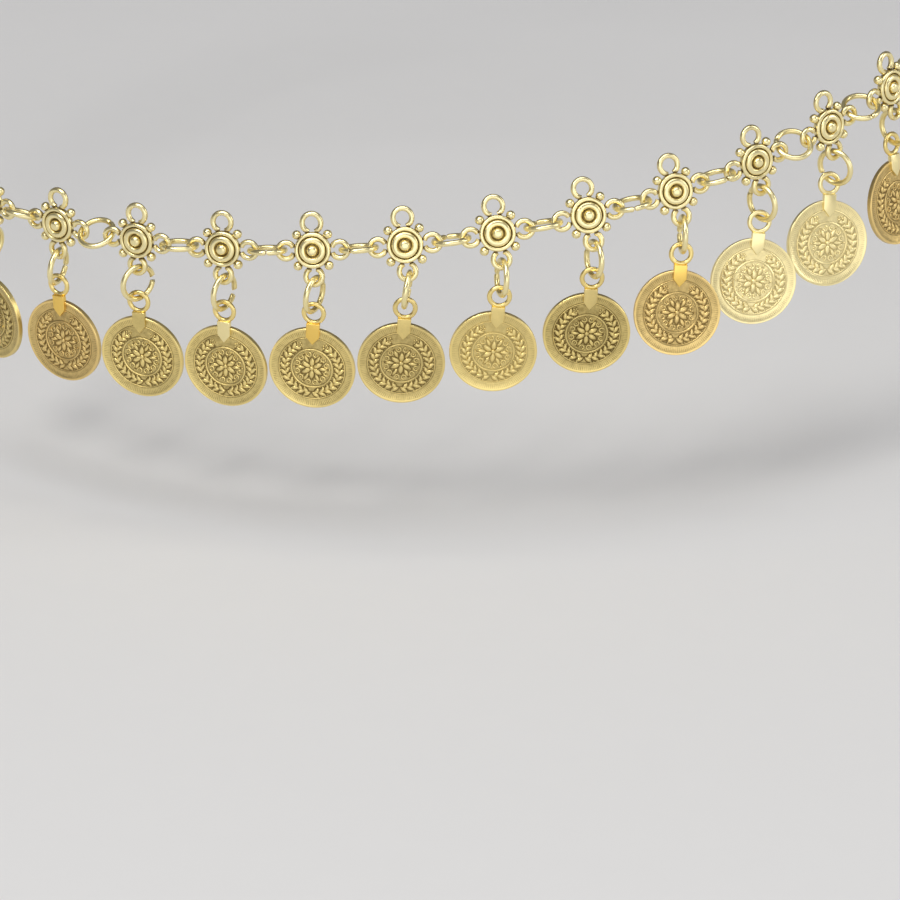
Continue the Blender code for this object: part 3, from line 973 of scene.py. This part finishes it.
class ChainSizes(bpy.types.PropertyGroup):
    """Sizes of the pieces that may be changed without moving a hinge"""

    boss_height: length_setting("Boss height", "Height of a button's boss over the chain's middle", 0.0019)
    ball_radius: length_setting("Ball radius", "Radius of a connector's corner balls", 0.00108)
    plate: length_setting("Plate", "Plate laid round the cast loops", 0.00003)
    bail_wire: length_setting(
        "Bail wire", "Width of a bail's wire, worn a little thinner than it was cast", 0.00113
    )
    ring_gap: length_setting("Ring gap", "Gap between the nipped ends of a jump ring", 0.00022)
    sprung_gap: length_setting(
        "Sprung gap", "Gap between the ends of a jump ring that has sprung open", 0.00095
    )
    nip_length: length_setting(
        "Nipped length", "Length of the wedge that the nippers leave at each end", 0.0004
    )
    coin_edge: length_setting("Coin edge", "Width of the raised edge round a coin", 0.00050)
    petals: IntProperty(
        name="Petals", description="Petals of the flower in the middle of a coin",
        default=6, min=5, max=8,
    )


class ChainColours(bpy.types.PropertyGroup):
    """Colours of the gold plate, its patina with painted shade, and the stage"""

    antique: colour_setting("Antique gold", "Plate on the connectors", (0.90, 0.73, 0.34))
    # The lighter plate on high places: polish together with a painted highlight
    antique_polish_and_highlight: colour_setting("Worn gold", "Plate where it is polished by wear", (0.98, 0.86, 0.47))
    bright: colour_setting("Bright gold", "Plate on the jump rings", (0.90, 0.74, 0.32))
    # The dark colour in the recesses: wax together with painted shade
    patina_and_shade: colour_setting("Patina", "Dark wax in the recesses", (0.12, 0.068, 0.010))
    coin_pale: colour_setting("Pale coin", "Plate on the palest coins", (1.0, 0.86, 0.45))
    coin_warm: colour_setting("Warm coin", "Plate on the brownish coins", (0.70, 0.52, 0.21))
    coin_yellow: colour_setting("Yellow coin", "Plate on the yellow coins", (0.80, 0.64, 0.26))
    coin_olive: colour_setting("Olive coin", "Plate on the dull coins", (0.68, 0.54, 0.22))
    coin_dark: colour_setting("Dark coin", "Plate on the most antiqued coin", (0.58, 0.46, 0.18))
    tab_orange: colour_setting("Orange tab", "Plate on the tabs that look orange", (1.0, 0.68, 0.17))
    floor: colour_setting("Floor", "Paper under the chain", (0.74, 0.735, 0.73))


class ChainStage(bpy.types.PropertyGroup):
    """Camera and lights"""

    lens: FloatProperty(
        name="Lens", description="Focal length of the camera on a 36 mm wide sensor, in millimetres",
        default=297.6, min=20.0, max=600.0, unit="CAMERA",
    )
    top_power: power_setting("Top light", "Power of the broad light overhead", 12.0)
    front_power: power_setting("Front light", "Power of the broad light in front", 12.0)
    key_power: power_setting("Key light", "Power of the light above at the left", 7.0)
    side_power: power_setting("Side light", "Power of the light at the right", 4.0)


class CHAIN_OT_connectors(bpy.types.Operator):
    """Model the twelve cast connectors"""

    bl_idname = "waist_chain.connectors"
    bl_label = "Connectors"

    def execute(self, context):
        master = finished(connector(), "cast")
        for index, pose in enumerate(UNIT_POSES):
            node = f"connector_{index + 1:02d}"
            matrix = connector_frame(unit_distance(index), pose.lean)
            stand_for(copied("cast_" + node, master, matrix), node, "chain")
        remove(master)
        return {"FINISHED"}


class CHAIN_OT_jump_rings(bpy.types.Operator):
    """Model the cut rings between the connectors and above the coins"""

    bl_idname = "waist_chain.jump_rings"
    bl_label = "Jump rings"

    def execute(self, context):
        sizes = context.scene.chain_sizes
        master = finished(jump_ring(sizes.ring_gap, 0.7), "ring")
        sprung = finished(jump_ring(sizes.sprung_gap, 0.25), "ring")
        turns = [0] + [pose.side_turn for pose in UNIT_POSES]
        for index, (turn, cut) in enumerate(zip(turns, SIDE_RING_CUTS)):
            node = f"side_ring_{index:02d}"
            cut_round = Matrix.Rotation(math.radians(cut - 90), 4, "Z")
            matrix = side_ring_matrix(unit_distance(index - 0.5), turn) @ cut_round
            stand_for(copied("bent_" + node, master, matrix), node, "chain")
        centre = Matrix.Translation((0, 0, HOOK_REACH - RING_RADIUS))
        for index, cut in enumerate(DROP_RING_CUTS):
            number = f"{index + 1:02d}"
            cut_round = Matrix.Rotation(math.radians(cut), 4, "Z")
            matrix = drop_ring_matrix(index) @ centre @ UPRIGHT @ cut_round
            ring = copied("bent_drop_ring_" + number, sprung if index in SPRUNG_RINGS else master, matrix)
            stand_for(ring, "drop_ring_" + number, "ring_" + number)
        remove(master)
        remove(sprung)
        return {"FINISHED"}


class CHAIN_OT_coins(bpy.types.Operator):
    """Model the struck coins with their bails"""

    bl_idname = "waist_chain.coins"
    bl_label = "Coins"

    def execute(self, context):
        coin = struck_coin()
        bail = washer_bail()
        tab = pointed_tab()
        for index, pose in enumerate(UNIT_POSES):
            number = f"{index + 1:02d}"
            made = pendant(coin, bail, tab, pose.coin_finish, pose.tab_finish)
            made.data.transform(coin_matrix(index))
            made.name = "struck_coin_" + number
            stand_for(made, "coin_" + number, "pendant_" + number)
        remove(coin)
        remove(bail)
        remove(tab)
        return {"FINISHED"}


class CHAIN_OT_plain_chain(bpy.types.Operator):
    """Model the plain links behind"""

    bl_idname = "waist_chain.plain_chain"
    bl_label = "Plain chain"

    def execute(self, context):
        back = back_layout()
        master = finished(plain_link(back.half_length), "link")
        for node, distances, upright in (("chain_left", back.left, 1), ("chain_right", back.right, 0)):
            links = []
            for i, distance in enumerate(distances):
                links.append(copied("link", master, loop_frame(distance, (i + upright) % 2)))
            stand_for(joined("bent_links_" + node, links), node, "chain")
        remove(master)
        return {"FINISHED"}


class CHAIN_OT_clasp(bpy.types.Operator):
    """Model the closed clasp and the ring that it holds"""

    bl_idname = "waist_chain.clasp"
    bl_label = "Clasp"

    def execute(self, context):
        back = back_layout()
        clasp = finished(closed_clasp(), "ring")
        placed = copied("sprung_clasp", clasp, loop_frame(back.clasp_at))
        stand_for(placed, "clasp", "chain")
        remove(clasp)
        ring = wire_arc("soldered ring", RING_RADIUS, RING_WIRE, 0, math.tau, 44, 12)
        paint_recess(ring, lambda place: 0.15)
        placed = copied("soldered_clasp_ring", finished(ring, "ring"), loop_frame(back.ring_at, 1))
        stand_for(placed, "clasp_ring", "chain")
        remove(ring)
        return {"FINISHED"}


def area_light(name, place, aim, size, power, colour=(1, 1, 1)):
    """A soft light that faces a point."""
    data = bpy.data.lights.new(name, "AREA")
    data.shape = "RECTANGLE"
    data.size, data.size_y = size
    data.energy = power
    data.color = colour
    obj = bpy.data.objects.new(name, data)
    obj.location = place
    obj.rotation_euler = (Vector(aim) - Vector(place)).to_track_quat("-Z", "Y").to_euler()
    obj.visible_camera = False
    bpy.context.scene.collection.objects.link(obj)


def paper(colour):
    """Matt paper with a faint tooth, which fades into the pale room far from the chain."""
    material = bpy.data.materials.new("stage paper")
    material.use_nodes = True
    tree = material.node_tree
    shader = tree.nodes["Principled BSDF"]
    shader.inputs["Roughness"].default_value = 0.9
    place = tree.nodes.new("ShaderNodeTexCoord").outputs["Object"]
    tooth = noise(tree, place, 90, 3)
    shade = tuple(0.985 * channel for channel in colour)
    sheet = mixed_colour(tree, tooth, tuple(colour), shade)
    distance = tree.nodes.new("ShaderNodeVectorMath")
    distance.operation = "LENGTH"
    tree.links.new(place, distance.inputs[0])
    far = mapped(tree, distance.outputs["Value"], FADE_START, FADE_END, 0.0, 1.0)
    tree.links.new(mixed_colour(tree, far, sheet, (0, 0, 0)), shader.inputs["Base Color"])
    tree.links.new(mixed_colour(tree, far, (0, 0, 0), ROOM), shader.inputs["Emission Color"])
    shader.inputs["Emission Strength"].default_value = 1.0
    return material


def studio_world():
    """A room that is dimmer in the metal's reflections than behind the floor."""
    world = bpy.data.worlds.new("studio")
    world.use_nodes = True
    tree = world.node_tree
    seen = tree.nodes["Background"]
    seen.inputs["Color"].default_value = (*ROOM, 1)
    room = tree.nodes.new("ShaderNodeBackground")
    room.inputs["Color"].default_value = (0.17, 0.17, 0.18, 1)
    ray = tree.nodes.new("ShaderNodeLightPath")
    mix = tree.nodes.new("ShaderNodeMixShader")
    tree.links.new(ray.outputs["Is Camera Ray"], mix.inputs[0])
    tree.links.new(room.outputs[0], mix.inputs[1])
    tree.links.new(seen.outputs[0], mix.inputs[2])
    tree.links.new(mix.outputs[0], tree.nodes["World Output"].inputs["Surface"])
    return world


def pale_floor(colour):
    """A wide sheet of paper below the chain."""
    deselect_all()
    bpy.ops.mesh.primitive_plane_add(size=8, location=(0, 0, cad_box[0].z - FLOOR_DROP))
    bpy.ops.object.transform_apply(location=True, rotation=True, scale=True)
    floor = bpy.context.object
    floor.name = "floor"
    floor.data.materials.append(paper(colour))


def studio_lights(settings):
    """Four soft lights that face the middle of the decorated front."""
    middle = (0, -0.08, -0.02)
    area_light("top light", (0, -0.35, 1.5), middle, (1.4, 0.9), settings.top_power)
    area_light("front light", (0.35, -1.9, 0.45), middle, (2.8, 1.0), settings.front_power)
    area_light("key light", (-0.7, -0.9, 1.1), middle, (0.45, 0.45), settings.key_power, (1.0, 0.98, 0.94))
    area_light("side light", (1.3, -0.2, 0.5), middle, (0.3, 0.9), settings.side_power)


def photo_camera(lens):
    """The camera at the photograph's viewing angle."""
    data = bpy.data.cameras.new("camera")
    data.sensor_width = 36
    data.lens = lens
    data.clip_end = 20
    camera = bpy.data.objects.new("camera", data)
    right = Vector((1, 0, 0))
    up = Vector((0, math.sin(CAMERA_DOWN), math.cos(CAMERA_DOWN)))
    aim = axes_matrix(Vector(CAMERA_PLACE), right, up, right.cross(up))
    camera.matrix_world = aim @ Matrix.Rotation(-CAMERA_ROLL, 4, "Z")
    bpy.context.scene.collection.objects.link(camera)
    bpy.context.scene.camera = camera


class CHAIN_OT_stage(bpy.types.Operator):
    """Set up the floor, the lights and the camera"""

    bl_idname = "waist_chain.stage"
    bl_label = "Stage"

    def execute(self, context):
        scene = context.scene
        scene.view_settings.view_transform = "Standard"
        pale_floor(scene.chain_colours.floor)
        studio_lights(scene.chain_stage)
        scene.world = studio_world()
        photo_camera(scene.chain_stage.lens)
        return {"FINISHED"}


class CHAIN_PT_panel(bpy.types.Panel):
    """Lists the steps in the sidebar"""

    bl_idname = "CHAIN_PT_panel"
    bl_label = "Waist chain"
    bl_space_type = "VIEW_3D"
    bl_region_type = "UI"
    bl_category = "Waist chain"

    def draw(self, context):
        scene = context.scene
        for settings in (scene.chain_sizes, scene.chain_colours, scene.chain_stage):
            box = self.layout.box()
            for name in settings.__annotations__:
                box.prop(settings, name)
        for operator in OPERATORS:
            self.layout.operator(operator.bl_idname)


OPERATORS = (
    CHAIN_OT_connectors,
    CHAIN_OT_jump_rings,
    CHAIN_OT_coins,
    CHAIN_OT_plain_chain,
    CHAIN_OT_clasp,
    CHAIN_OT_stage,
)
CLASSES = (ChainSizes, ChainColours, ChainStage, *OPERATORS, CHAIN_PT_panel)


def register():
    for cls in CLASSES:
        bpy.utils.register_class(cls)
    bpy.types.Scene.chain_sizes = PointerProperty(type=ChainSizes)
    bpy.types.Scene.chain_colours = PointerProperty(type=ChainColours)
    bpy.types.Scene.chain_stage = PointerProperty(type=ChainStage)


def unregister():
    del bpy.types.Scene.chain_stage
    del bpy.types.Scene.chain_colours
    del bpy.types.Scene.chain_sizes
    for cls in reversed(CLASSES):
        bpy.utils.unregister_class(cls)


def main():
    register()
    bpy.ops.waist_chain.connectors()
    bpy.ops.waist_chain.jump_rings()
    bpy.ops.waist_chain.coins()
    bpy.ops.waist_chain.plain_chain()
    bpy.ops.waist_chain.clasp()
    bpy.ops.waist_chain.stage()


if __name__ == "__main__":
    main()
